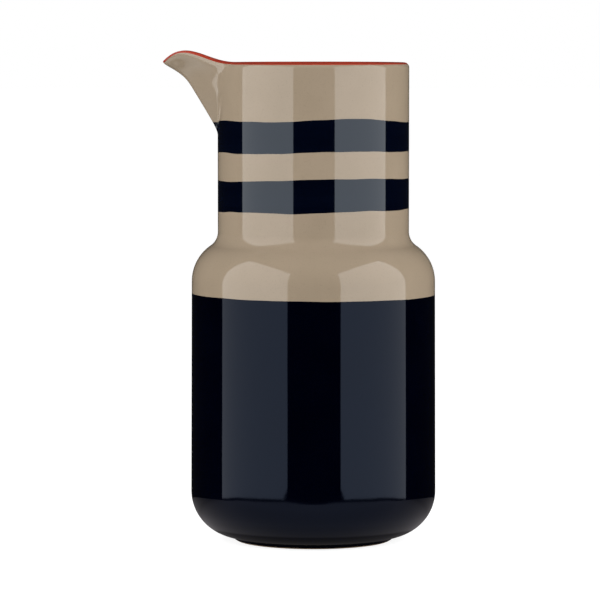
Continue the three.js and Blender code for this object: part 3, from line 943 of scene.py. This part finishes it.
def lay_table():
    """The small table top, glowing with painted light, with a dark border as painted shade at its edge,
    that reflections in the glaze show in the floor's place.
    """
    bpy.ops.object.select_all(action="DESELECT")
    bpy.ops.mesh.primitive_plane_add(size=1)
    table = bpy.context.object
    table.name = "table"
    bpy.ops.object.mode_set(mode="EDIT")
    bpy.ops.mesh.select_all(action="SELECT")
    bpy.ops.transform.resize(value=(TABLE_WIDTH, TABLE_BACK - TABLE_FRONT, 1))
    bpy.ops.transform.translate(value=(AXIS_X, (TABLE_BACK + TABLE_FRONT) / 2, 0))
    bpy.ops.mesh.bevel(
        affect="VERTICES", offset=TABLE_CORNER, segments=TABLE_CORNER_STEPS, profile=TABLE_CORNER_PROFILE
    )
    bpy.ops.mesh.select_all(action="SELECT")
    bpy.ops.mesh.inset(thickness=TABLE_BORDER)
    bpy.ops.object.mode_set(mode="OBJECT")
    table.data.materials.append(painted_table_light())
    # the dark border is painted shade at the table's edge
    table.data.materials.append(dark_reflection_cloth)
    for face in table.data.polygons:
        face.material_index = 0 if face.select else 1
    only_in_reflections(table)


def hang_flags():
    """Dark cloth all round, which only reflections see, painting dark reflections in the glaze."""
    bpy.ops.object.select_all(action="DESELECT")
    bpy.ops.mesh.primitive_uv_sphere_add(segments=FLAG_SEGMENTS, ring_count=FLAG_RINGS, radius=FLAG_RADIUS)
    flags = bpy.context.object
    flags.name = "dark_flags"
    flags.data.materials.append(dark_reflection_cloth)
    only_in_reflections(flags)


def softbox(name, inner, outer, radiance):
    """A tall lamp between two upright edges, each given on the floor plan from the pot's axis."""
    width = math.dist(inner, outer)
    height = SOFTBOX_HIGH - SOFTBOX_LOW
    lamp = bpy.data.lights.new(name, "AREA")
    lamp.shape = "RECTANGLE"
    lamp.size = width
    lamp.size_y = height
    lamp.energy = radiance * math.pi * width * height
    box = bpy.data.objects.new(name, lamp)
    middle = Vector((*(np.add(inner, outer) / 2), (SOFTBOX_LOW + SOFTBOX_HIGH) / 2))
    across = Vector((*np.subtract(outer, inner), 0)).normalized()
    facing = across.cross(Vector((0, 0, 1)))
    if facing.dot(middle) > 0:
        facing.negate()
    box.location = middle + Vector((AXIS_X, 0, 0))
    box.rotation_euler = facing.to_track_quat("-Z", "Y").to_euler()
    box.visible_camera = False
    bpy.context.scene.collection.objects.link(box)


def painted_reflection_card(name, inner, outer, low, high, run, radiance):
    """An upright glowing card below the table's level, no lamp, which the beak reflects as a painted
    reflection, with soft tones of painted light up its height.
    """
    bpy.ops.object.select_all(action="DESELECT")
    bpy.ops.mesh.primitive_plane_add(size=1)
    card = bpy.context.object
    card.name = name
    for corner in card.data.vertices:
        edge = outer if corner.co.x > 0 else inner
        height = high if corner.co.y > 0 else low
        corner.co = (AXIS_X + edge[0], edge[1], height)
    material, tree, shader = new_material(name)
    shader.inputs["Base Color"].default_value = (*BLACK, 1)
    shader.inputs["Specular IOR Level"].default_value = 0
    shader.inputs["Emission Strength"].default_value = radiance
    place = tree.nodes.new("ShaderNodeTexCoord")
    parts = tree.nodes.new("ShaderNodeSeparateXYZ")
    tree.links.new(place.outputs["Object"], parts.inputs["Vector"])
    rise = share_between(tree, parts.outputs["Z"], low, high)
    tree.links.new(tones(tree, rise, *lit(run)), shader.inputs["Emission Color"])
    card.data.materials.append(material)
    only_in_reflections(card)


def soft_fill(name, way, level):
    """A soft lamp that lightens the sides facing it and that no reflection shows."""
    lamp = bpy.data.lights.new(name, "AREA")
    lamp.shape = "DISK"
    lamp.size = FILL_SIZE
    lamp.energy = level * math.pi * FILL_DISTANCE**2 * math.pi
    fill = bpy.data.objects.new(name, lamp)
    way = Vector(way)
    fill.location = way * FILL_DISTANCE + Vector((AXIS_X, 0, FILL_HEIGHT))
    fill.rotation_euler = (-way).to_track_quat("-Z", "Y").to_euler()
    fill.visible_camera = False
    fill.visible_glossy = False
    bpy.context.scene.collection.objects.link(fill)


light_studio_world()
lay_floor()
lay_table()
hang_flags()
softbox("left_softbox", LEFT_INNER, LEFT_OUTER, LEFT_RADIANCE)
softbox("right_softbox", RIGHT_INNER, RIGHT_OUTER, RIGHT_RADIANCE)
# painted reflections: a skirt under the left softbox and a low sweep of light for the beak's cheeks
painted_reflection_card("softbox_skirt", SKIRT_INNER, SKIRT_OUTER, SKIRT_LOW, SKIRT_HIGH, SKIRT_RUN, SKIRT_RADIANCE)
painted_reflection_card("low_sweep", SWEEP_INNER, SWEEP_OUTER, SWEEP_LOW, SWEEP_HIGH, SWEEP_RUN, SWEEP_RADIANCE)
soft_fill("left_fill", LEFT_FILL_WAY, LEFT_FILL_LEVEL)
soft_fill("right_fill", RIGHT_FILL_WAY, RIGHT_FILL_LEVEL)
soft_fill("top_fill", TOP_FILL_WAY, TOP_FILL_LEVEL)
